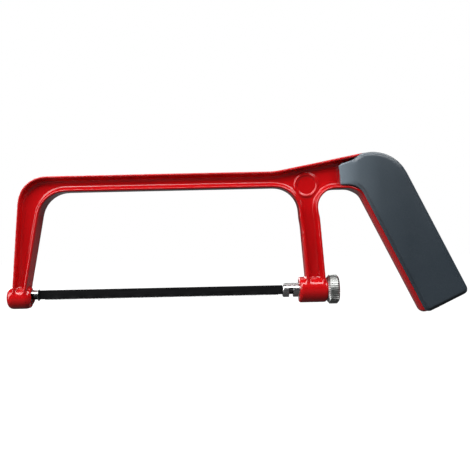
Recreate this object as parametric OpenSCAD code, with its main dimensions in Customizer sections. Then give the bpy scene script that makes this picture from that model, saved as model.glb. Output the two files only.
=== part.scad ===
// Mini hacksaw: a one-piece cast bow frame with a closed pistol handle, a slotted stud at the
// toe, a slotted draw bolt with a knurled thumb nut at the heel, a pin-end blade between them,
// and a two-piece grip screwed together through the web of the handle.
// Axes: X runs from toe to handle, Y across the saw, Z up. The teeth face down.
// Everything is first placed from the rear blade pin, then moved to the middle of the base.

/* [Blade] */
// Distance between the two blade pins
blade_pitch = 149.2; // [149:0.1:150]
// Height of the blade, teeth included
blade_height = 5.8; // [5:0.1:6]
// Thickness of the blade
blade_thickness = 0.65; // [0.5:0.05:0.7]
// Distance from a pin to the end of the blade
blade_tail = 3.2; // [2.8:0.1:3.3]
// Diameter of the pins riveted through the blade
pin_d = 2.3; // [2:0.1:2.4]
// Length of the pins
pin_length = 6.8; // [6:0.1:7]
// Distance between teeth
tooth_pitch = 0.8; // [0.8:0.1:1.4]
// Depth of the teeth
tooth_depth = 0.45; // [0.3:0.05:0.6]

/* [Frame] */
// Height of the throat, from the pins to the underside of the beam
throat = 60; // [55:0.5:65]
// Height of the beam
beam_height = 9.3; // [8:0.1:11]
// Depth of the frame across the saw
frame_depth = 12.6; // [12:0.2:12.8]
// Depth of the frame in the handle
handle_depth = 16; // [15:0.5:17]
// Thickness of the web between the raised rims
web = 4.4; // [4:0.2:5]
// Width of the raised rims
rim = 1.6; // [1.4:0.1:2]
// Slope of the outer edge of the front leg, in degrees
leg_out_slope = 4.64; // [4:0.1:6]
// Slope of the inner edge of the front leg, in degrees
leg_in_slope = 10.63; // [9:0.1:11]
// Slope of the rear post, in degrees
post_slope = 4.1; // [3:0.1:5]
// Width of the rear post
post_width = 11; // [10.5:0.1:12]
// Slope of the top edge over the handle, in degrees
top_slope = 10.4; // [9:0.1:11]

/* [Front boss and stud] */
// Diameter of the front boss
front_boss_d = 13.2; // [13.2:0.1:14]
// Length of the front boss
front_boss_length = 14.8; // [14:0.1:15.5]
// Drop of the front boss below the pins
front_boss_drop = 1.2; // [0.8:0.1:1.2]
// Diameter of the stud
stud_d = 6.9; // [6.8:0.1:7.2]
// Length of the stud outside the boss
stud_reach = 3.2; // [3:0.1:3.6]
// Length of the stud inside the boss
stud_root = 7.5; // [7:0.1:8]

/* [Rear boss, draw bolt and nut] */
// Diameter of the rear boss
rear_boss_d = 15; // [14.4:0.1:15.4]
// Length of the rear boss
rear_boss_length = 16.5; // [16:0.1:17]
// Diameter of the draw bolt
bolt_d = 8.2; // [8:0.1:8.4]
// Length of the draw bolt outside the boss
bolt_reach = 9.4; // [9:0.1:10]
// Travel of the draw bolt
bolt_travel = 2; // [1:0.5:2]
// Diameter of the screw thread
thread_d = 6; // [5:1:6]
// Diameter of the thumb nut
nut_d = 17; // [16:0.5:18]
// Length of the thumb nut
nut_length = 6.6; // [6:0.1:7]
// Number of ribs around the thumb nut
nut_ribs = 42; // [36:1:48]

/* [Handle] */
// Slope of the handle from upright, in degrees
handle_slope = 26.5; // [26:0.1:27]
// Width of the handle, from finger side to back
handle_width = 28.8; // [28:0.1:30]
// Distance from the rear pin to the end of the handle, along the handle
handle_end = 47.4; // [46:0.1:49]
// Thickness of the grip around the back of the frame
wrap = 2.4; // [2:0.1:2.6]
// Thickness of the whole grip across the saw
grip_depth = 22; // [21:0.5:23]
// Diameter of the grip screws
screw_d = 3; // [2.5:0.5:3]

/* [Hidden] */

ROUND = 96;                                  // facets of a full circle
ARC_STEP = 12;                               // degrees per facet on rounded outline corners
PAST = 1;                                    // how far a cutting tool runs past a face

front_pin_x = -blade_pitch;
beam_top = throat + beam_height;
rim_y = frame_depth / 2;
tang_y = handle_depth / 2;
web_y = web / 2;

// Slots for the blade and the pins
slot_width = blade_thickness + 0.2;
pin_slot = pin_d + 0.2;
front_boss_x = front_pin_x - 1.6;            // face of the front boss, next to the stud
pin_slot_end = front_pin_x - pin_slot / 2 - bolt_travel;
blade_slot_end = front_pin_x - blade_tail - bolt_travel - 0.3;

// Rear end
rear_boss_x = bolt_reach - 5;
rear_boss_end = rear_boss_x + rear_boss_length;
nut_x = rear_boss_end + 0.3;
nut_end = nut_x + nut_length;
bolt_flat = 3;                               // distance from the bolt's axis to its flat
fit = 0.05;                                  // radial clearance of the running fits

// Handle lines: along points down the handle, across points from finger side to back
along = [sin(handle_slope), -cos(handle_slope)];
across = [cos(handle_slope), sin(handle_slope)];
finger = 61.2;                               // finger side, measured across
back = finger + handle_width;
arch = throat - 1.4;                         // top of the finger opening
lip = 1.2;                                   // frame edge left showing beside the grip
foot = 3;                                  // width of the frame's bare foot at the finger side
foot_drop = 0.5;                             // how far the foot reaches past the grip
end_rise = 0.4;                              // how much shorter the handle is at its finger side
foot_end = handle_end - end_rise + foot_drop;

function handle_point(a, t) = a * across + t * along;
function unit(v) = v / norm(v);
function left_of(v) = [-v[1], v[0]];
function cross2(a, b) = a[0] * b[1] - a[1] * b[0];
// Where the line through p along u crosses the line through q along v
function meet(p, u, q, v) = p + u * cross2(q - p, v) / cross2(u, v);

// An outline is a list of corners [point, radius], counter-clockwise
function corner_turn(c, i) =
    let (n = len(c), u = unit(c[i][0] - c[(i + n - 1) % n][0]), v = unit(c[(i + 1) % n][0] - c[i][0]))
    atan2(cross2(u, v), u * v);

function corner_arc(c, i) =
    let (n = len(c),
         u = unit(c[i][0] - c[(i + n - 1) % n][0]),
         turn = corner_turn(c, i),
         r = c[i][1],
         side = turn > 0 ? 1 : -1,
         start = c[i][0] - u * r * tan(abs(turn) / 2),
         centre = start + left_of(u) * r * side,
         steps = max(1, ceil(abs(turn) / ARC_STEP)))
    r < 0.05 ? [c[i][0]]
    : [for (k = [0 : steps])
        let (a = turn * k / steps, d = start - centre)
        centre + [d[0] * cos(a) - d[1] * sin(a), d[0] * sin(a) + d[1] * cos(a)]];

function rounded(c) = [for (i = [0 : len(c) - 1]) each corner_arc(c, i)];

// The same outline moved inwards by d
function inset(c, d) =
    [for (i = [0 : len(c) - 1])
        let (n = len(c),
             a = left_of(unit(c[i][0] - c[(i + n - 1) % n][0])),
             b = left_of(unit(c[(i + 1) % n][0] - c[i][0])))
        [c[i][0] + (a + b) * d / (1 + a * b),
         corner_turn(c, i) > 0 ? max(0, c[i][1] - d) : max(0, c[i][1] + d)]];

// Edges of the frame, each as a point and a direction
leg_out = [[-162, 0], [sin(leg_out_slope), cos(leg_out_slope)]];
leg_in = [[-154.35, 0], [sin(leg_in_slope), cos(leg_in_slope)]];
post_front = [[8.75, 0], [-sin(post_slope), cos(post_slope)]];
post_back = [[8.75 + post_width, 0], [-sin(post_slope), cos(post_slope)]];
top_edge = [[-8.6, beam_top], [cos(top_slope), sin(top_slope)]];

// Corners of the whole handle's silhouette
hump = meet(top_edge[0], top_edge[1], handle_point(back, 0), along);
heel = handle_point(back, handle_end);

frame_corners = [
    [leg_out[0] - leg_out[1] * front_boss_drop, 0],
    [leg_in[0] - leg_in[1] * front_boss_drop, 0],
    [meet([0, throat], [1, 0], leg_in[0], leg_in[1]), 16],
    [meet([0, throat], [1, 0], post_front[0], post_front[1]), 14.5],
    [post_front[0], 0],
    [post_back[0], 0],
    [meet([0, arch], [1, 0], post_back[0], post_back[1]), 10.6],
    [meet([0, arch], [1, 0], handle_point(finger, 0), along), 10],
    [handle_point(finger, foot_end), 2.6],
    [handle_point(finger + foot + 1, foot_end), 0.5],
    [handle_point(finger + foot + 1, handle_end - wrap), 0.5],
    [handle_point(back - wrap, handle_end - wrap), 2],
    [handle_point(back - wrap, -35.4), 12],
    [hump - top_edge[1] * 16, 8],
    [top_edge[0], 25],
    [meet([0, beam_top], [1, 0], leg_out[0], leg_out[1]), 16.4]
];

// Corners of the hollow between the rims, which leaves out the foot
hollow_corners = concat(
    [for (i = [0 : 7]) frame_corners[i]],
    [[handle_point(finger, handle_end - wrap), 6]],
    [for (i = [11 : 15]) frame_corners[i]]);

// The grip's outline: inside the rims at its front end, over the back and the end of the handle
grip_front = 28;
grip_corners = [
    [[grip_front + 1.6, arch + 1.9], 0.8],
    [meet([0, arch + 1.9], [1, 0], handle_point(finger + lip, 0), along), 9],
    [handle_point(finger + lip, handle_end - end_rise), 3],
    [heel, 3],
    [hump, 22],
    [[41, 78.2], 2],
    [[36.3, 74.6], 1.5],
    [[grip_front, 71.4], 1]
];

// The part of the grip that sinks into the recess of the handle
plug_gap = 0.25;
plug_corners = inset([
    [[grip_front - 0.6, arch], 1],
    [frame_corners[7][0], 10],
    [handle_point(finger, handle_end - wrap), 6],
    [handle_point(back - wrap, handle_end - wrap), 2],
    [handle_point(back - wrap, -35.4), 12],
    [hump - top_edge[1] * 16, 8],
    [[grip_front - 0.6, 73.8], 1]
], rim + plug_gap);
plug_wall = 1.8;

// Grip screws sit on the middle line of the handle
screw_places = [for (t = [-28, 5, 38]) handle_point(finger + handle_width / 2, t)];
screw_head_d = 5.6;
screw_head_h = 2;
screw_tip_y = -8.4;                          // the screws stop inside the left half
screw_seat_y = 6.6;                          // seat of the screw heads in the right half
pillar_d = 9;

// Ring of the round bead on the web
bead = [10.1, throat + 1.1];
bead_d = 14;
bead_width = 1.3;
bead_height = 1.1;

// Steps of the hollow between the rims, as [inset, height left above mid-plane]
hollow_steps = [[rim, 3.8], [rim + 0.6, 3], [rim + 1.4, 2.5], [rim + 2.3, web_y]];

// Lowest and outermost points give the middle of the base
outer_points = rounded(grip_corners);
frame_points = rounded(frame_corners);
x_high = max([for (p = outer_points) p[0]]);
z_low = min(min([for (p = outer_points) p[1]]), min([for (p = frame_points) p[1]]));
x_low = front_boss_x - front_boss_length;
x_mid = (x_low + x_high) / 2;

module placed() {
    translate([-x_mid, 0, -z_low])
        children();
}

// A plate of the given outline, from y0 to y1
module plate(points, y0, y1) {
    translate([0, y1, 0])
        rotate([90, 0, 0])
            linear_extrude(y1 - y0)
                polygon(points);
}

// A plate on each side of the saw, from y0 outwards to y1
module both_sides(points, y0, y1) {
    plate(points, y0, y1);
    plate(points, -y1, -y0);
}

// A round bar along X from x0 to x1 with rounded ends
module round_bar(x0, x1, d, end0, end1) {
    profile = rounded([
        [[0, x0], 0], [[d / 2, x0], end0], [[d / 2, x1], end1], [[0, x1], 0]]);
    rotate([0, 90, 0])
        rotate_extrude($fn = ROUND)
            polygon(profile);
}

// A plain bar along X, for bores and shanks
module bar(x0, x1, d) {
    translate([x0, 0, 0])
        rotate([0, 90, 0])
            cylinder(h = x1 - x0, d = d, $fn = ROUND);
}

// A plain bar along Y at point p
module cross_bar(p, y0, y1, d) {
    translate([p[0], y1, p[1]])
        rotate([90, 0, 0])
            cylinder(h = y1 - y0, d = d, $fn = ROUND / 2);
}

// A box from corner a to corner b
module block(a, b) {
    translate(a)
        cube(b - a);
}

// The slots that let the front pin and the blade's tail drop out of the toe
module toe_slots(y) {
    block([pin_slot_end, -y, -10], [front_pin_x + pin_slot / 2, y, pin_slot / 2]);
    block([blade_slot_end, -slot_width / 2, -10],
          [front_boss_x + stud_reach + PAST, slot_width / 2, blade_height / 2 + 0.3]);
}

// A bore round the draw bolt's shape: a circle with one flat on the right side of the saw
module d_bar(x0, x1, d, flat) {
    difference() {
        bar(x0, x1, d);
        block([x0 - PAST, flat, -d], [x1 + PAST, flat + d, d]);
    }
}

// Cutters that thin the frame in front of the handle, with a sloping start on both sides
module beam_cutters() {
    ramp_start = 18;
    ramp = atan((tang_y - rim_y) / 12);
    reach = 20;
    low = -60;
    high = 120;
    block([-180, rim_y, low], [ramp_start, reach, high]);
    block([-180, -reach, low], [ramp_start, -rim_y, high]);
    translate([ramp_start, rim_y, low])
        rotate([0, 0, ramp])
            cube([60, reach, high - low]);
    translate([ramp_start, -rim_y, low])
        rotate([0, 0, -ramp])
            translate([0, -reach, 0])
                cube([60, reach, high - low]);
}

module frame_body() {
    difference() {
        plate(frame_points, -tang_y, tang_y);
        beam_cutters();
        for (s = hollow_steps)
            both_sides(rounded(inset(hollow_corners, s[0])), s[1], tang_y + PAST);
        for (p = screw_places)
            cross_bar(p, -tang_y, tang_y, screw_d + 0.6);
    }
}

module bead_ring() {
    difference() {
        cross_bar(bead, -web_y - bead_height, web_y + bead_height, bead_d);
        cross_bar(bead, -web_y - bead_height - PAST, web_y + bead_height + PAST, bead_d - 2 * bead_width);
    }
}

module frame() {
    color("firebrick")
        placed()
            difference() {
                union() {
                    frame_body();
                    bead_ring();
                    translate([0, 0, -front_boss_drop])
                        round_bar(front_boss_x - front_boss_length, front_boss_x, front_boss_d, 3, 4);
                    round_bar(rear_boss_x, rear_boss_end, rear_boss_d, 1, 1.6);
                }
                bar(front_boss_x - stud_root, front_boss_x + 4, stud_d);
                toe_slots(pin_length / 2 + 0.4);
                d_bar(rear_boss_x - PAST, rear_boss_end + PAST, bolt_d + 2 * fit, bolt_flat + fit);
            }
}

module front_stud() {
    color("lightgray")
        placed()
            difference() {
                round_bar(front_boss_x - stud_root, front_boss_x + stud_reach, stud_d, 0.5, 0.5);
                toe_slots(stud_d);
            }
}

// Blade outline: straight back, plain ends, saw teeth between the holders
module blade() {
    top = blade_height / 2;
    root = -blade_height / 2 + tooth_depth;
    first = front_pin_x + 5;
    count = floor((blade_pitch - 12) / tooth_pitch);
    teeth = [for (i = [0 : count - 1])
        each [[first + i * tooth_pitch, root],
              [first + i * tooth_pitch + 0.1, root - tooth_depth]]];
    color("dimgray")
        placed()
            difference() {
                plate(concat(
                    [[front_pin_x - blade_tail, top], [front_pin_x - blade_tail, root]],
                    teeth,
                    [[first + count * tooth_pitch, root], [blade_tail, root], [blade_tail, top]]),
                    -blade_thickness / 2, blade_thickness / 2);
                for (x = [front_pin_x, 0])
                    cross_bar([x, 0], -PAST, PAST, pin_d);
            }
}

module blade_pin(x) {
    color("dimgray")
        placed()
            cross_bar([x, 0], -pin_length / 2, pin_length / 2, pin_d);
}

module blade_pin_front() {
    blade_pin(front_pin_x);
}

module blade_pin_rear() {
    blade_pin(0);
}

// Draw bolt: slotted holder for the rear pin, flat-sided shank, threaded end
module draw_bolt() {
    tip = rear_boss_x - bolt_reach;
    color("silver")
        placed()
            difference() {
                union() {
                    round_bar(tip, rear_boss_end - 6, bolt_d, 0.9, 0.5);
                    round_bar(rear_boss_end - 7, nut_end - 1, thread_d, 0, 0.6);
                }
                block([rear_boss_x - 3, bolt_flat, -bolt_d], [rear_boss_end, bolt_d, bolt_d]);
                block([tip - PAST, -slot_width / 2, -bolt_d], [blade_tail + 0.4, slot_width / 2, bolt_d]);
                block([-pin_slot / 2, -bolt_d, -bolt_d], [pin_slot / 2, bolt_d, pin_slot / 2]);
            }
}

// Thumb nut: a ribbed band between two bevelled faces
module thumb_nut() {
    bevel = 1.1;
    rib_h = 0.45;
    pitch = 360 / nut_ribs;
    ribs = [for (i = [0 : nut_ribs - 1])
        each [for (s = [[0, 0], [0.18, 1], [0.5, 1], [0.68, 0]])
            (nut_d / 2 - rib_h + s[1] * rib_h) * [cos((i + s[0]) * pitch), sin((i + s[0]) * pitch)]]];
    color("silver")
        placed()
            difference() {
                union() {
                    round_bar(nut_x, nut_end, nut_d - 2 * rib_h, bevel, 0.8);
                    translate([nut_x + bevel, 0, 0])
                        rotate([90, 0, 90])
                            linear_extrude(nut_length - bevel - 0.8)
                                polygon(ribs);
                }
                bar(nut_x - PAST, nut_end + PAST, thread_d + 2 * fit);
            }
}

// One half of the grip, built on the +Y side
module grip_shell() {
    face = tang_y + 0.1;
    top = grip_depth / 2;
    shoulder = 1.5;
    difference() {
        union() {
            plate(outer_points, 0.05, top - shoulder);
            plate(rounded(inset(grip_corners, shoulder)), face, top);
        }
        // room for the frame, and no thin edges where the frame comes to the surface
        plate(rounded(inset(frame_corners, -0.15)), -PAST, face);
        block([0, -PAST, -20], [54, face, 120]);
        plate([handle_point(finger - 5, 20), handle_point(finger - 5, 60),
               handle_point(finger + foot + 2, 60), handle_point(finger + foot + 2, 20)], -PAST, face);
        // the front end of the grip starts thin and swells
        translate([grip_front, face + 0.5, 0])
            rotate([0, 0, 9])
                block([-8, 0, 0], [50, 10, 120]);
    }
}

module grip_plug() {
    wall_y = hollow_steps[0][1] + 0.1;       // the plug's wall stays above the hollow's stepped edge
    difference() {
        plate(rounded(plug_corners), wall_y, tang_y + 0.5);
        plate(rounded(inset(plug_corners, plug_wall)), 0, tang_y + 2);
    }
    for (p = screw_places)
        cross_bar(p, web_y + 0.1, tang_y + 0.5, pillar_d);
}

module grip_half() {
    grip_shell();
    grip_plug();
}

module grip_left() {
    color("slategray")
        placed()
            difference() {
                mirror([0, 1, 0])
                    grip_half();
                for (p = screw_places)
                    cross_bar(p, screw_tip_y - 0.3, 0, screw_d);
            }
}

module grip_right() {
    color("slategray")
        placed()
            difference() {
                grip_half();
                for (p = screw_places) {
                    cross_bar(p, 0, screw_seat_y + PAST, screw_d + 0.2);
                    cross_bar(p, screw_seat_y, grip_depth, screw_head_d + 0.4);
                }
            }
}

module grip_screws() {
    color("gray")
        placed()
            for (p = screw_places)
                difference() {
                    union() {
                        cross_bar(p, screw_tip_y, screw_seat_y + PAST, screw_d);
                        cross_bar(p, screw_seat_y, screw_seat_y + screw_head_h, screw_head_d);
                    }
                    // cross recess
                    for (a = [0, 90])
                        translate([p[0], screw_seat_y + screw_head_h, p[1]])
                            rotate([0, a, 0])
                                cube([2.8, 2.2, 0.7], center = true);
                }
}

frame();
front_stud();
blade();
blade_pin_front();
blade_pin_rear();
draw_bolt();
thumb_nut();
grip_left();
grip_right();
grip_screws();
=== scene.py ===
"""Mini hacksaw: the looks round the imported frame.

The frame, the grip, the stud, the bolt and the screws are the CAD solids melted into soft-edged
skins. The nut, the blade and its pins are built here from their own profiles. Lengths are in
metres, in the frame's axes: X from toe to handle, Y across the saw, Z up. The saw is seen from its
left side, along +Y.
"""
import math

import bmesh
import bpy
import numpy as np
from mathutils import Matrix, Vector
from mathutils.kdtree import KDTree


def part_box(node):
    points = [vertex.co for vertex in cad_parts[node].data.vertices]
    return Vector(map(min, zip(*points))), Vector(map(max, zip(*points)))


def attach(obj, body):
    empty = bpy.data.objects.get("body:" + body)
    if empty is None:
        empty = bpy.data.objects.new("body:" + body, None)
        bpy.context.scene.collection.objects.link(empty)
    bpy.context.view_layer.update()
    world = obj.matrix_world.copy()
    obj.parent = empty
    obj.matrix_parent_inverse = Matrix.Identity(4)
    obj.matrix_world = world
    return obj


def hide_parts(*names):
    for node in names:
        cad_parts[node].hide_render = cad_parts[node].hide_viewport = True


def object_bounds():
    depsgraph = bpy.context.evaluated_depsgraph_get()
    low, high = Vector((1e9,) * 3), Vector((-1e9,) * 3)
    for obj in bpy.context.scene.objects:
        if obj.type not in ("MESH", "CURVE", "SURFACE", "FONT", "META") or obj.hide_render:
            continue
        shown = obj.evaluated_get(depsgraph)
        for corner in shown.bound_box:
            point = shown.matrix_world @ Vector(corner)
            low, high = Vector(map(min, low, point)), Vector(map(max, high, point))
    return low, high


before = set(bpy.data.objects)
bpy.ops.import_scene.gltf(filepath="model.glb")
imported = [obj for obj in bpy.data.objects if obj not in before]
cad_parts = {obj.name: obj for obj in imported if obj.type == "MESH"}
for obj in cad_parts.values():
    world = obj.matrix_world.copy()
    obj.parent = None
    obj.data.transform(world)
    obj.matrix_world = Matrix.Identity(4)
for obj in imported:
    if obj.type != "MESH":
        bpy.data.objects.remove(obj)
cad_low, cad_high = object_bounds()
MM = 0.001


# ---------------------------------------------------------------- places taken from the frame

def middle(node):
    low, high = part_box(node)
    return (low + high) / 2


pin_front = middle("blade_pin_front")
pin_rear = middle("blade_pin_rear")
_, bolt_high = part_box("draw_bolt")
nut_low, nut_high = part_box("thumb_nut")
blade_low, blade_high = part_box("blade")
axis_z = pin_rear.z
centre = (cad_low + cad_high) / 2


# ---------------------------------------------------------------- mesh helpers

def add_object(name, data):
    obj = bpy.data.objects.new(name, data)
    bpy.context.scene.collection.objects.link(obj)
    return obj


def mesh_object(name, verts, faces, sharp_deg=None):
    """A smooth-shaded object with its faces turned outwards, sharp above an angle if one is given."""
    mesh = bpy.data.meshes.new(name)
    mesh.from_pydata([tuple(v) for v in verts], [], faces)
    mesh.validate()
    bm = bmesh.new()
    bm.from_mesh(mesh)
    bmesh.ops.recalc_face_normals(bm, faces=bm.faces)
    bm.to_mesh(mesh)
    bm.free()
    mesh.shade_smooth()
    obj = add_object(name, mesh)
    if sharp_deg is not None:
        mesh.set_sharp_from_angle(angle=math.radians(sharp_deg))
    return obj


def bake_modifiers(obj):
    """Replace the mesh by what its modifiers make of it."""
    graph = bpy.context.evaluated_depsgraph_get()
    mesh = bpy.data.meshes.new_from_object(obj.evaluated_get(graph))
    obj.modifiers.clear()
    obj.data = mesh
    mesh.shade_smooth()
    return obj


def cad_copy(node, name):
    """A welded copy of a CAD node's mesh, free to be reshaped."""
    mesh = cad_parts[node].data.copy()
    mesh.materials.clear()
    bm = bmesh.new()
    bm.from_mesh(mesh)
    bmesh.ops.remove_doubles(bm, verts=bm.verts, dist=1e-6)
    bm.to_mesh(mesh)
    bm.free()
    return add_object(name, mesh)


def melt(obj, voxel, passes):
    """Turn a sharp solid into one even skin with soft edges and filled inner corners."""
    remesh = obj.modifiers.new("skin", "REMESH")
    remesh.mode = "VOXEL"
    remesh.voxel_size = voxel
    smooth = obj.modifiers.new("soften", "SMOOTH")
    smooth.factor = 0.5
    smooth.iterations = passes
    return bake_modifiers(obj)


def thin_out(obj, triangles):
    """Bring a mesh of four-sided faces down to about this many triangles."""
    count = 2 * len(obj.data.polygons)
    if count > triangles:
        thin = obj.modifiers.new("thin", "DECIMATE")
        thin.ratio = triangles / count
        bake_modifiers(obj)


def get_points(obj):
    points = np.empty(len(obj.data.vertices) * 3)
    obj.data.vertices.foreach_get("co", points)
    return points.reshape(-1, 3)


def set_points(obj, points):
    obj.data.vertices.foreach_set("co", points.ravel())
    obj.data.update()


def edge_ends(obj):
    """The first and the second vertex of every edge."""
    ends = np.empty(len(obj.data.edges) * 2, dtype=np.int64)
    obj.data.edges.foreach_get("vertices", ends)
    return ends[0::2], ends[1::2]


def ease(obj, weight, passes):
    """Smooth a mesh only where weight(points) is above nought."""
    points = get_points(obj)
    n = len(points)
    a, b = edge_ends(obj)
    links = np.maximum(np.bincount(a, minlength=n) + np.bincount(b, minlength=n), 1)
    pull = 0.5 * weight(points)
    for _ in range(passes):
        for k in range(3):
            near = np.bincount(a, points[b, k], n) + np.bincount(b, points[a, k], n)
            points[:, k] += pull * (near / links - points[:, k])
    set_points(obj, points)


def sleek(obj, passes):
    """Smooth freely along faces and along edges but little across edges: facets go, edges stay."""
    points = get_points(obj)
    n = len(points)
    normals = np.empty(n * 3)
    obj.data.vertices.foreach_get("normal", normals)
    normals = normals.reshape(-1, 3)
    a, b = edge_ends(obj)
    like = np.clip((np.sum(normals[a] * normals[b], axis=1) - 0.90) / 0.08, 0.35, 1)
    total = np.bincount(a, like, n) + np.bincount(b, like, n)
    pull = 0.5 / np.maximum(total, 0.5)
    for _ in range(passes):
        for k in range(3):
            near = np.bincount(a, like * points[b, k], n) + np.bincount(b, like * points[a, k], n)
            points[:, k] += pull * (near - total * points[:, k])
    set_points(obj, points)


def fade(values, start, end):
    """1 before start, 0 after end, easing between them."""
    t = np.clip((values - start) / (end - start), 0, 1)
    return 1 - t * t * (3 - 2 * t)


def stitch(rings, close_ends=True):
    """Vertices and faces of a skin over rings of equal length, each ring a closed loop."""
    n = len(rings[0])
    verts = [v for ring in rings for v in ring]
    faces = [
        (k * n + i, k * n + (i + 1) % n, (k + 1) * n + (i + 1) % n, (k + 1) * n + i)
        for k in range(len(rings) - 1) for i in range(n)
    ]
    if close_ends:
        faces.append(tuple(range(n)))
        faces.append(tuple((len(rings) - 1) * n + i for i in range(n)))
    return verts, faces


def lathe(name, profile, sides, y, z, shape=None, closed=False, sharp_deg=35):
    """A solid turned about the X direction through (y, z). profile is [(x, r)] from end to end.

    shape(x, r, turn) may change the radius. A closed profile makes a ring with a bore.
    """
    rings = []
    for x, r in profile:
        ring = []
        for i in range(sides):
            turn = 2 * math.pi * i / sides
            rr = shape(x, r, turn) if shape else r
            ring.append((x, y + rr * math.cos(turn), z + rr * math.sin(turn)))
        rings.append(ring)
    if closed:
        rings.append(rings[0])
    verts, faces = stitch(rings, close_ends=not closed)
    obj = mesh_object(name, verts, faces)
    bm = bmesh.new()
    bm.from_mesh(obj.data)
    bmesh.ops.remove_doubles(bm, verts=bm.verts, dist=1e-7)
    bmesh.ops.recalc_face_normals(bm, faces=bm.faces)
    bm.to_mesh(obj.data)
    bm.free()
    obj.data.shade_smooth()
    obj.data.set_sharp_from_angle(angle=math.radians(sharp_deg))
    return obj


def place(obj, body, slot, mat, *nodes):
    """Material, body and the CAD nodes that the piece stands for; the slot argument is not used."""
    obj.data.materials.clear()
    obj.data.materials.append(mat)
    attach(obj, body)
    if nodes:
        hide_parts(*nodes)
    return obj


# ---------------------------------------------------------------- materials

class Nodes:
    """Short spellings for a material's node tree."""

    def __init__(self, name):
        self.mat = bpy.data.materials.new(name)
        self.mat.use_nodes = True
        self.tree = self.mat.node_tree
        self.shader = self.tree.nodes["Principled BSDF"]
        self.coord = self.new("ShaderNodeTexCoord").outputs["Object"]

    def new(self, kind, **values):
        node = self.tree.nodes.new(kind)
        for key, value in values.items():
            setattr(node, key, value)
        return node

    def link(self, a, b):
        self.tree.links.new(a, b)

    def stretched(self, scale):
        node = self.new("ShaderNodeMapping")
        node.inputs["Scale"].default_value = scale
        self.link(self.coord, node.inputs["Vector"])
        return node.outputs["Vector"]

    def noise(self, scale, detail=3.0, rough=0.5, vector=None):
        node = self.new("ShaderNodeTexNoise")
        node.inputs["Scale"].default_value = scale
        node.inputs["Detail"].default_value = detail
        node.inputs["Roughness"].default_value = rough
        self.link(vector or self.coord, node.inputs["Vector"])
        return node.outputs["Fac"]

    def ramp(self, fac, stops):
        node = self.new("ShaderNodeValToRGB")
        ramp = node.color_ramp
        while len(ramp.elements) < len(stops):
            ramp.elements.new(0.5)
        for element, (at, colour) in zip(ramp.elements, stops):
            element.position = at
            element.color = (*colour, 1) if len(colour) == 3 else colour
        self.link(fac, node.inputs["Fac"])
        return node.outputs["Color"]

    def grey_ramp(self, fac, stops):
        return self.ramp(fac, [(at, (v, v, v)) for at, v in stops])

    def mix(self, fac, a, b):
        node = self.new("ShaderNodeMix", data_type="RGBA")
        self.link(fac, node.inputs["Factor"])
        for value, socket in ((a, node.inputs["A"]), (b, node.inputs["B"])):
            if isinstance(value, tuple):
                socket.default_value = (*value, 1)
            else:
                self.link(value, socket)
        return node.outputs["Result"]

    def math(self, operation, a, b):
        node = self.new("ShaderNodeMath", operation=operation)
        for value, socket in ((a, node.inputs[0]), (b, node.inputs[1])):
            if isinstance(value, (int, float)):
                socket.default_value = value
            else:
                self.link(value, socket)
        return node.outputs["Value"]

    def bump(self, height, strength, distance, under=None):
        node = self.new("ShaderNodeBump")
        node.inputs["Strength"].default_value = strength
        node.inputs["Distance"].default_value = distance
        self.link(height, node.inputs["Height"])
        if under is not None:
            self.link(under, node.inputs["Normal"])
        return node.outputs["Normal"]

    def set(self, **values):
        for key, value in values.items():
            socket = self.shader.inputs[key.replace("_", " ")]
            if isinstance(value, (int, float, tuple)):
                socket.default_value = (*value, 1) if isinstance(value, tuple) else value
            else:
                self.link(value, socket)
        return self.mat


def red_enamel():
    """Glossy enamel over a casting: a little orange peel, thin and darker on the edges."""
    m = Nodes("red_enamel")
    cloud = m.noise(45, 3)
    tone = m.mix(cloud, (0.46, 0.0030, 0.0045), (0.60, 0.0050, 0.0070))
    edge = m.new("ShaderNodeNewGeometry").outputs["Pointiness"]
    worn = m.grey_ramp(edge, [(0.50, 0.0), (0.62, 1.0)])
    chips = m.math("MULTIPLY", worn, m.grey_ramp(m.noise(260, 4, 0.6), [(0.52, 0.0), (0.66, 0.55)]))
    tone = m.mix(chips, tone, (0.30, 0.03, 0.03))
    peel = m.bump(m.noise(620, 2, 0.4), 0.10, 0.00025)
    sink = m.bump(m.noise(90, 2), 0.12, 0.0009, peel)
    gloss = m.grey_ramp(m.noise(150, 4, 0.6), [(0.3, 0.16), (0.75, 0.26)])
    return m.set(Base_Color=tone, Roughness=gloss, Normal=sink, Specular_IOR_Level=0.1,
                 Coat_Weight=1.0, Coat_Roughness=0.05, Coat_IOR=1.5)


GRIP_FRONT = 28 * MM                           # front end of the grip, ahead of the rear pin


def grip_plastic():
    """Moulded satin plastic with a fine spark-eroded grain, and a painted sheen that makes it paler
    towards its front end.
    """
    m = Nodes("grip_plastic")
    cloud = m.noise(30, 3)
    tone = m.mix(cloud, (0.022, 0.032, 0.042), (0.029, 0.041, 0.053))
    along = m.new("ShaderNodeSeparateXYZ")
    m.link(m.coord, along.inputs["Vector"])
    ahead = m.math("SUBTRACT", along.outputs["X"], pin_rear.x + GRIP_FRONT)
    # painted sheen: the colour is paler over the first 40 mm behind the grip's front end, standing in
    # for light falling there
    painted_sheen = m.grey_ramp(m.math("DIVIDE", ahead, 40 * MM),
                        [(0.0, 1.0), (0.3, 0.34), (0.6, 0.1), (1.0, 0.0)])
    tone = m.mix(painted_sheen, tone, (0.192, 0.237, 0.275))
    speck = m.grey_ramp(m.noise(2600, 2, 0.7), [(0.45, 0.0), (0.75, 0.35)])
    tone = m.mix(speck, tone, (0.070, 0.088, 0.105))
    gloss = m.grey_ramp(m.noise(55, 4, 0.6), [(0.3, 0.34), (0.75, 0.42)])
    grain = m.bump(m.noise(3200, 2, 0.6), 0.22, 0.00008)
    wave = m.bump(m.noise(70, 1), 0.08, 0.0006, grain)
    return m.set(Base_Color=tone, Roughness=gloss, Normal=wave, IOR=1.6)


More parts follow.
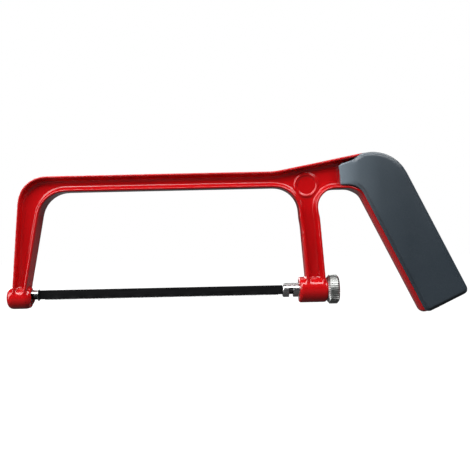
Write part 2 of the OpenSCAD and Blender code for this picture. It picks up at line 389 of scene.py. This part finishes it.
def bright_metal(name, tone, rough, line_scale, line_depth, tarnish=(0.45, 0.44, 0.42)):
    """Turned or plated metal: fine tool lines round the X axis and patchy tarnish."""
    m = Nodes(name)
    lines = m.noise(1.0, 3, 0.6, m.stretched(line_scale))
    patch = m.grey_ramp(m.noise(420, 4, 0.6), [(0.45, 0.0), (0.85, 0.5)])
    colour = m.mix(patch, tone, tarnish)
    gloss = m.math("ADD", m.grey_ramp(lines, [(0.3, rough * 0.75), (0.7, rough * 1.25)]),
                   m.math("MULTIPLY", patch, 0.18))
    cut = m.bump(lines, 0.25, line_depth)
    return m.set(Base_Color=colour, Metallic=1.0, Roughness=gloss, Normal=cut)


def blade_lacquer():
    """Black lacquer on rolled steel, rubbed bright at the tips of the teeth."""
    m = Nodes("blade_lacquer")
    height = m.new("ShaderNodeSeparateXYZ")
    m.link(m.coord, height.inputs["Vector"])
    up = m.math("SUBTRACT", height.outputs["Z"], blade_low.z)
    tip = m.grey_ramp(m.math("MULTIPLY", up, 1 / (1.1 * MM)), [(0.18, 1.0), (0.5, 0.0)])
    rub = m.math("MULTIPLY", tip, m.grey_ramp(m.noise(700, 3, 0.6), [(0.35, 0.2), (0.65, 1.0)]))
    streak = m.noise(1.0, 3, 0.6, m.stretched((60, 900, 2400)))
    tone = m.mix(streak, (0.003, 0.003, 0.0035), (0.008, 0.008, 0.009))
    tone = m.mix(rub, tone, (0.16, 0.16, 0.17))
    gloss = m.grey_ramp(streak, [(0.3, 0.30), (0.75, 0.46)])
    return m.set(Base_Color=tone, Roughness=gloss, Normal=m.bump(streak, 0.2, 0.00004),
                 Metallic=m.math("MULTIPLY", rub, 0.8), IOR=1.35)


ENAMEL = red_enamel()
PLASTIC = grip_plastic()
STEEL = bright_metal("bright_steel", (0.57, 0.57, 0.57), 0.24, (5200, 260, 260), 0.00002)
NICKEL = bright_metal("nickel_plate", (0.43, 0.44, 0.43), 0.34, (5200, 300, 300), 0.00002)
ZINC = bright_metal("zinc_steel", (0.66, 0.67, 0.68), 0.30, (900, 900, 900), 0.00002)
BLACK_STEEL = bright_metal("pin_steel", (0.10, 0.10, 0.105), 0.34, (900, 2600, 900), 0.00002,
                           (0.05, 0.05, 0.05))
LACQUER = blade_lacquer()


# ---------------------------------------------------------------- frame and grip

RIM_Y = 6.3 * MM                               # flat faces of the rims, from the middle plane
HOLLOW_Y = 3.8 * MM                            # foot of the hollow's upright walls
WEB_Y = 2.2 * MM                               # web at the bottom of the hollow
BEAD = pin_rear + Vector((10.1, 0, 61.1)) * MM  # round bead on the web
HANDLE_LEAN = math.radians(26.5)
HANDLE_MIDDLE = 75.6 * MM                      # middle line of the handle from the rear pin
HANDLE_HALF = 14.4 * MM                        # half of the handle's width
HANDLE_FOOT = 47.5 * MM                        # end of the frame's bare foot, along the handle
HANDLE_Y = 8 * MM                              # sides of the frame in the handle


def handle_place(points):
    """Distances across the handle from its middle line, and down it from the rear pin."""
    x, z = points[:, 0] - pin_rear.x, points[:, 2] - axis_z
    across = x * math.cos(HANDLE_LEAN) + z * math.sin(HANDLE_LEAN) - HANDLE_MIDDLE
    return across, x * math.sin(HANDLE_LEAN) - z * math.cos(HANDLE_LEAN)


def from_rims(points):
    """Seen from the side, how far each point is from the walls of the frame's hollow."""
    spacing, near = 0.25 * MM, 0.01 * MM
    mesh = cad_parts["frame"].data

    def column(p):
        return round(p.x, 5), round(p.z, 5)

    def at_level(p, level):
        return abs(abs(p.y) - level) < near

    corners = [v.co for v in mesh.vertices]
    walls = {column(p) for p in corners if at_level(p, HOLLOW_Y)}
    walls &= {column(p) for p in corners if at_level(p, RIM_Y)}
    samples = []
    for edge in mesh.edges:
        a, b = (corners[i] for i in edge.vertices)
        if all(at_level(p, RIM_Y) and column(p) in walls for p in (a, b)):
            count = int((b - a).length / spacing) + 1
            samples += [a.lerp(b, k / count) for k in range(count + 1)]
    tree = KDTree(len(samples))
    for k, p in enumerate(samples):
        tree.insert((p.x, 0, p.z), k)
    tree.balance()
    return np.array([tree.find((x, 0, z))[2] for x, z in points[:, 0::2].tolist()])


def build_frame():
    """The casting: the stepped hollow between the rims melts into one concave fillet."""
    skin = melt(cad_copy("frame", "cast_frame"), (0.33) * MM, 3)

    def above_bosses(points):
        return 1 - fade(points[:, 2], axis_z + 8.5 * MM, axis_z + 11 * MM)

    def from_bead(points):
        return np.hypot(points[:, 0] - BEAD.x, points[:, 2] - BEAD.z)

    def hollow(points):
        deep = fade(np.abs(points[:, 1]), HOLLOW_Y - 0.3 * MM, HOLLOW_Y + 0.9 * MM)
        beside_bead = 1 - 0.93 * fade(from_bead(points), 8.4 * MM, 9.6 * MM)
        return deep * above_bosses(points) * beside_bead

    def rim_edges(points):
        return np.clip(1.4 - np.hypot(rims, np.abs(points[:, 1]) - RIM_Y) / (1.5 * MM), 0, 1)

    sleek(skin, 12)
    rims = from_rims(get_points(skin))
    ease(skin, hollow, 6)
    ease(skin, rim_edges, 8)

    # the hollow's steps become a tight fillet at the foot of the walls, and the bead's ring is low
    points = get_points(skin)
    fillet, ring = HOLLOW_Y - WEB_Y, 1.4 * MM
    height = np.abs(points[:, 1]) - WEB_Y
    rise = np.clip(height / fillet, 0, 1)
    in_bead = fade(from_bead(points), 7.4 * MM, 8.2 * MM)
    low = 0.6 * (rise - rise ** 3) * fillet * above_bosses(points) * (1 - in_bead)
    low += np.clip(height, 0, ring) * 0.4 * in_bead * (height < ring)
    points[:, 1] -= np.sign(points[:, 1]) * low

    # the finger side and the foot are rounded across the saw
    across, down = handle_place(points)
    sunk = (points[:, 1] / HANDLE_Y) ** 2 * 1.3 * MM
    side = sunk * fade(across + HANDLE_HALF, 0.5 * MM, 4 * MM) * (1 - fade(down, -36 * MM, -28 * MM))
    foot = sunk * fade(HANDLE_FOOT - down, 0.5 * MM, 4 * MM)
    points[:, 0] += side * math.cos(HANDLE_LEAN) - foot * math.sin(HANDLE_LEAN)
    points[:, 2] += side * math.sin(HANDLE_LEAN) + foot * math.cos(HANDLE_LEAN)
    set_points(skin, points)
    thin_out(skin, 190000)
    place(skin, "saw_frame", "red_enamel", ENAMEL, "frame")


def build_grip(node):
    """One half of the grip, slightly crowned across the handle. Its figures here are in mm."""
    skin = melt(cad_copy(node, node + "_shell"), (0.45) * MM, 12)
    points = get_points(skin)
    side = np.sign(points[:, 1])
    height = np.abs(points[:, 1]) / MM
    across, _ = handle_place(points)
    crown = np.clip((across / HANDLE_HALF) ** 2, 0, 1) * 0.8
    height -= crown * np.clip((height - 8.5) / 2.5, 0, 1)

    # the straight ramp at the front end becomes a curve that swells into the flat side
    ahead = (points[:, 0] - pin_rear.x - GRIP_FRONT) / MM
    inner, top, swell_length = 8.1, 11.0, 26
    ramp = np.minimum(top, inner + 0.5 + 0.158 * np.maximum(ahead, 0))
    swell = top - 2.7 * (1 - np.clip(ahead / swell_length, 0, 1)) ** 2
    squash = (swell - inner) / (ramp - inner)
    height = np.where(height > inner, inner + (height - inner) * squash, height)
    points[:, 1] = side * height * MM
    set_points(skin, points)
    thin_out(skin, 150000)
    place(skin, "saw_frame", "grip_plastic", PLASTIC, node)


# ---------------------------------------------------------------- metal parts

def build_stud():
    """The slotted stud at the toe."""
    skin = melt(cad_copy("front_stud", "toe_stud"), 0.13 * MM, 3)
    place(skin, "saw_frame", "bright_steel", STEEL, "front_stud")


THREAD_PITCH = 1.0 * MM
THREAD_DEPTH = 0.35 * MM
THREAD_R = 3.0 * MM


def thread_wave(x, turn):
    """0 at the root and 1 at the crest of a right-hand thread about X."""
    phase = (x / THREAD_PITCH - turn / (2 * math.pi)) % 1.0
    return 1 - abs(2 * phase - 1)


def build_draw_bolt():
    """The slotted holder from the CAD, with a thread cut into its rear end."""
    skin = melt(cad_copy("draw_bolt", "blade_draw_bolt"), 0.14 * MM, 3)
    start = bolt_high.x - 13 * MM
    for v in skin.data.vertices:
        dy, dz = v.co.y, v.co.z - axis_z
        r = math.hypot(dy, dz)
        if v.co.x > start and r > THREAD_R - 0.25 * MM:
            cut = 1 - thread_wave(v.co.x, math.atan2(dz, dy))
            k = (r - THREAD_DEPTH * cut) / r
            v.co.y, v.co.z = dy * k, axis_z + dz * k
    place(skin, "draw_bolt", "bright_steel", STEEL, "draw_bolt")


def build_thumb_nut():
    """Ribbed band between bevelled faces, with a threaded bore."""
    x0, x1 = nut_low.x, nut_high.x
    r_out = (nut_high.z - nut_low.z) / 2
    ribs, rib_h = 42, 0.5 * MM
    bore = THREAD_R + 0.08 * MM
    bevel0, bevel1, step = 1.1 * MM, 0.9 * MM, 0.12 * MM
    face0, face1 = r_out - 1.35 * MM, r_out - 1.1 * MM
    profile = [(x0, bore + 0.5 * MM), (x0, face0 - 0.1 * MM), (x0 + 0.1 * MM, face0)]
    profile += [(x0 + bevel0 * 0.8, r_out - rib_h * 0.9), (x0 + bevel0, r_out - rib_h * 0.25)]
    n, band = 10, x1 - x0 - bevel0 - bevel1
    profile += [(x0 + bevel0 + band * (0.04 + 0.92 * i / n), r_out) for i in range(n + 1)]
    profile += [(x1 - bevel1, r_out - rib_h * 0.25), (x1 - bevel1 * 0.8, r_out - rib_h * 0.9)]
    dish, dish_r = 0.25 * MM, r_out * 0.62         # shallow dish in the rear face
    profile += [(x1 - 0.1 * MM, face1), (x1, face1 - 0.1 * MM), (x1, dish_r),
                (x1 - dish, dish_r - dish), (x1 - dish, bore + 0.5 * MM)]
    inner = np.arange(x1 - 0.7 * MM, x0 + 0.6 * MM, -step)
    profile += [(x, bore) for x in inner]

    def shape(x, r, turn):
        if r > r_out - rib_h:
            k = (turn / (2 * math.pi) * ribs) % 1.0
            rise = 1 - min(1.0, max(0.0, (abs(k - 0.5) - 0.18) / 0.22))
            return r - rib_h * (1 - rise)
        if r <= bore + 1e-9:
            return r - THREAD_DEPTH * 0.8 * (1 - thread_wave(x, turn))
        return r

    nut = lathe("knurled_thumb_nut", profile, ribs * 10, 0.0, axis_z, shape, closed=True)
    place(nut, "thumb_nut", "nickel_plate", NICKEL, "thumb_nut")


def build_pin(node, name):
    """A rivet pin across the blade with softly domed ends."""
    low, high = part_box(node)
    r, c = (high.x - low.x) / 2, (low + high) / 2
    half = (high.y - low.y) / 2
    rings = []
    profile = [(-half, r * 0.55), (-half + 0.08 * MM, r * 0.8), (-half + 0.25 * MM, r)]
    profile += [(-y, rr) for y, rr in reversed(profile)]
    for y, rr in profile:
        rings.append([(c.x + rr * math.cos(a), c.y + y, c.z + rr * math.sin(a))
                      for a in (2 * math.pi * i / 40 for i in range(40))])
    pin = mesh_object(name, *stitch(rings), 40)
    place(pin, "blade", "pin_steel", BLACK_STEEL, node)


def build_blade():
    """Thin strip with raked teeth and a wavy set along the lower edge."""
    half = (blade_high.y - blade_low.y) / 2
    top, tips = blade_high.z, blade_low.z
    tooth, depth = 0.8 * MM, 0.48 * MM
    root = tips + depth
    x0, x1 = blade_low.x, blade_high.x
    first, last = pin_front.x + 5 * MM, pin_rear.x - 7 * MM
    count = int((last - first) / tooth)
    wave_len, wave_amp = 9.6 * MM, 0.24 * MM
    nose, corner_cut = 0.4 * MM, 0.35 * MM         # the blade's ends have small cut corners
    xs = [x0, x0 + nose]
    xs += [x0 + nose + (first - x0 - nose) * i / 5 for i in range(1, 5)]
    lows = [root + corner_cut, root] + [root] * 4
    for i in range(count):
        base = first + i * tooth
        xs += [base, base + 0.12 * MM, base + 0.30 * MM, base + 0.55 * MM]
        lows += [root, tips, tips + depth * 0.25, tips + depth * 0.68]
    end = first + count * tooth
    xs += [end + (x1 - nose - end) * i / 5 for i in range(5)] + [x1 - nose, x1]
    lows += [root] * 6 + [root + corner_cut]
    levels = [0.0, 0.12, 0.5, 0.72, 0.84, 1.0]

    def point(i, level, side):
        x = xs[i]
        corner = corner_cut if i in (0, len(xs) - 1) else 0.0
        z = top - corner + (lows[i] - top + corner) * level
        body = 0.5 * (1 + math.cos(math.pi * min(1, max(0, (z - root) / (1.5 * MM)))))
        calm = min(1.0, max(0.0, (x - first) / (6 * MM)), max(0.0, (end - x) / (6 * MM)))
        shift = wave_amp * math.sin(2 * math.pi * (x - first) / wave_len) * body * calm
        thin = half * (1 - 0.25 * max(0.0, (root - z) / depth))
        return (x, shift + side * thin, z)

    n = len(levels)
    verts, faces = [], []
    for side in (-1, 1):
        for i in range(len(xs)):
            verts += [point(i, level, side) for level in levels]
    block = len(xs) * n
    for i in range(len(xs) - 1):
        for k in range(n - 1):
            a = i * n + k
            faces.append((a, a + n, a + n + 1, a + 1))
            b = block + a
            faces.append((b, b + 1, b + n + 1, b + n))
        for k in (0, n - 1):
            a = i * n + k
            faces.append((a, a + n, block + a + n, block + a))
    for i in (0, len(xs) - 1):
        for k in range(n - 1):
            a = i * n + k
            faces.append((a, a + 1, block + a + 1, block + a))
    blade = mesh_object("toothed_blade", verts, faces, 30)
    place(blade, "blade", "blade_steel", LACQUER, "blade")


def build_screws():
    """The three grip screws, seen in their holes from the far side."""
    skin = melt(cad_copy("grip_screws", "cross_head_screws"), 0.16 * MM, 2)
    place(skin, "saw_frame", "zinc_steel", ZINC, "grip_screws")


build_frame()
build_grip("grip_left")
build_grip("grip_right")
build_stud()
build_draw_bolt()
build_thumb_nut()
build_pin("blade_pin_front", "front_rivet_pin")
build_pin("blade_pin_rear", "rear_rivet_pin")
build_blade()
build_screws()


# ---------------------------------------------------------------- floor, light and camera

BLADE_DROP = 30 * MM                           # how far the blade can drop out of its slots


def build_floor():
    """Paper, white for the camera and dark for what the saw reflects, below the dropped blade."""
    level = blade_low.z - BLADE_DROP - 6 * MM
    bpy.ops.mesh.primitive_plane_add(size=3, location=(centre.x, centre.y, level))
    floor = bpy.context.object
    floor.name = "floor"
    m = Nodes("floor_paper")
    tone = m.mix(m.noise(6, 2), (0.050, 0.050, 0.051), (0.060, 0.060, 0.061))
    m.set(Base_Color=tone, Roughness=0.9, Specular_IOR_Level=0.1)
    glow = m.new("ShaderNodeEmission")
    lit = m.new("ShaderNodeAddShader")
    m.link(glow.outputs[0], lit.inputs[0])
    m.link(m.shader.outputs[0], lit.inputs[1])
    glow.inputs["Strength"].default_value = 1.0
    pick = m.new("ShaderNodeMixShader")
    m.link(m.new("ShaderNodeLightPath").outputs["Is Camera Ray"], pick.inputs["Fac"])
    m.link(m.shader.outputs[0], pick.inputs[1])
    m.link(lit.outputs[0], pick.inputs[2])
    m.link(pick.outputs[0], m.tree.nodes["Material Output"].inputs["Surface"])
    floor.data.materials.append(m.mat)


def area_light(name, offset, size_x, size_y, power):
    """A softbox at an offset from the middle of the saw, aimed at it."""
    light = bpy.data.lights.new(name, "AREA")
    light.shape = "RECTANGLE"
    light.size, light.size_y = size_x, size_y
    light.energy = power
    obj = add_object(name, light)
    obj.location = centre + Vector(offset)
    obj.rotation_euler = (-Vector(offset)).to_track_quat("-Z", "Y").to_euler()


def build_lights():
    """Softboxes before and behind the saw, and a world that is white only for the camera."""
    area_light("key_softbox", (-0.84, -0.72, 0.84), 0.90, 0.90, 13)
    area_light("left_softbox", (-1.10, -0.40, 0.15), 0.50, 0.60, 5)
    area_light("top_strip", (0.25, -0.48, 0.84), 1.80, 0.28, 12)
    area_light("right_softbox", (0.30, -0.42, 0.40), 0.22, 0.22, 0.9)
    area_light("back_softbox", (0.20, 0.70, 1.50), 1.20, 0.80, 4)
    area_light("rear_softbox", (-0.70, 1.10, 0.55), 0.90, 0.90, 14)
    world = bpy.data.worlds.new("studio")
    bpy.context.scene.world = world
    world.use_nodes = True
    tree = world.node_tree
    room = tree.nodes["Background"]
    room.inputs["Color"].default_value = (0.95, 0.97, 1.0, 1)
    room.inputs["Strength"].default_value = 0.03
    white = tree.nodes.new("ShaderNodeBackground")
    white.inputs["Color"].default_value = (1, 1, 1, 1)
    white.inputs["Strength"].default_value = 1.0
    ray = tree.nodes.new("ShaderNodeLightPath")
    pick = tree.nodes.new("ShaderNodeMixShader")
    tree.links.new(ray.outputs["Is Camera Ray"], pick.inputs["Fac"])
    tree.links.new(room.outputs[0], pick.inputs[1])
    tree.links.new(white.outputs[0], pick.inputs[2])
    tree.links.new(pick.outputs[0], tree.nodes["World Output"].inputs["Surface"])
    bpy.context.scene.view_settings.view_transform = "Standard"


CAMERA_FROM_PIN = Vector((-32.08, -380, 32.93)) * MM   # from the rear blade pin
CAMERA_ROLL = math.radians(1.235)


def build_camera():
    """Square on to the saw's left side, a little way off and slightly rolled."""
    data = bpy.data.cameras.new("camera")
    data.sensor_width = 36
    data.lens = 49.57
    data.clip_start = 0.01
    camera = add_object("camera", data)
    camera.location = Vector((pin_rear.x, 0, axis_z)) + CAMERA_FROM_PIN
    camera.rotation_euler = (math.radians(90), CAMERA_ROLL, 0)
    bpy.context.scene.camera = camera


build_floor()
build_lights()
build_camera()
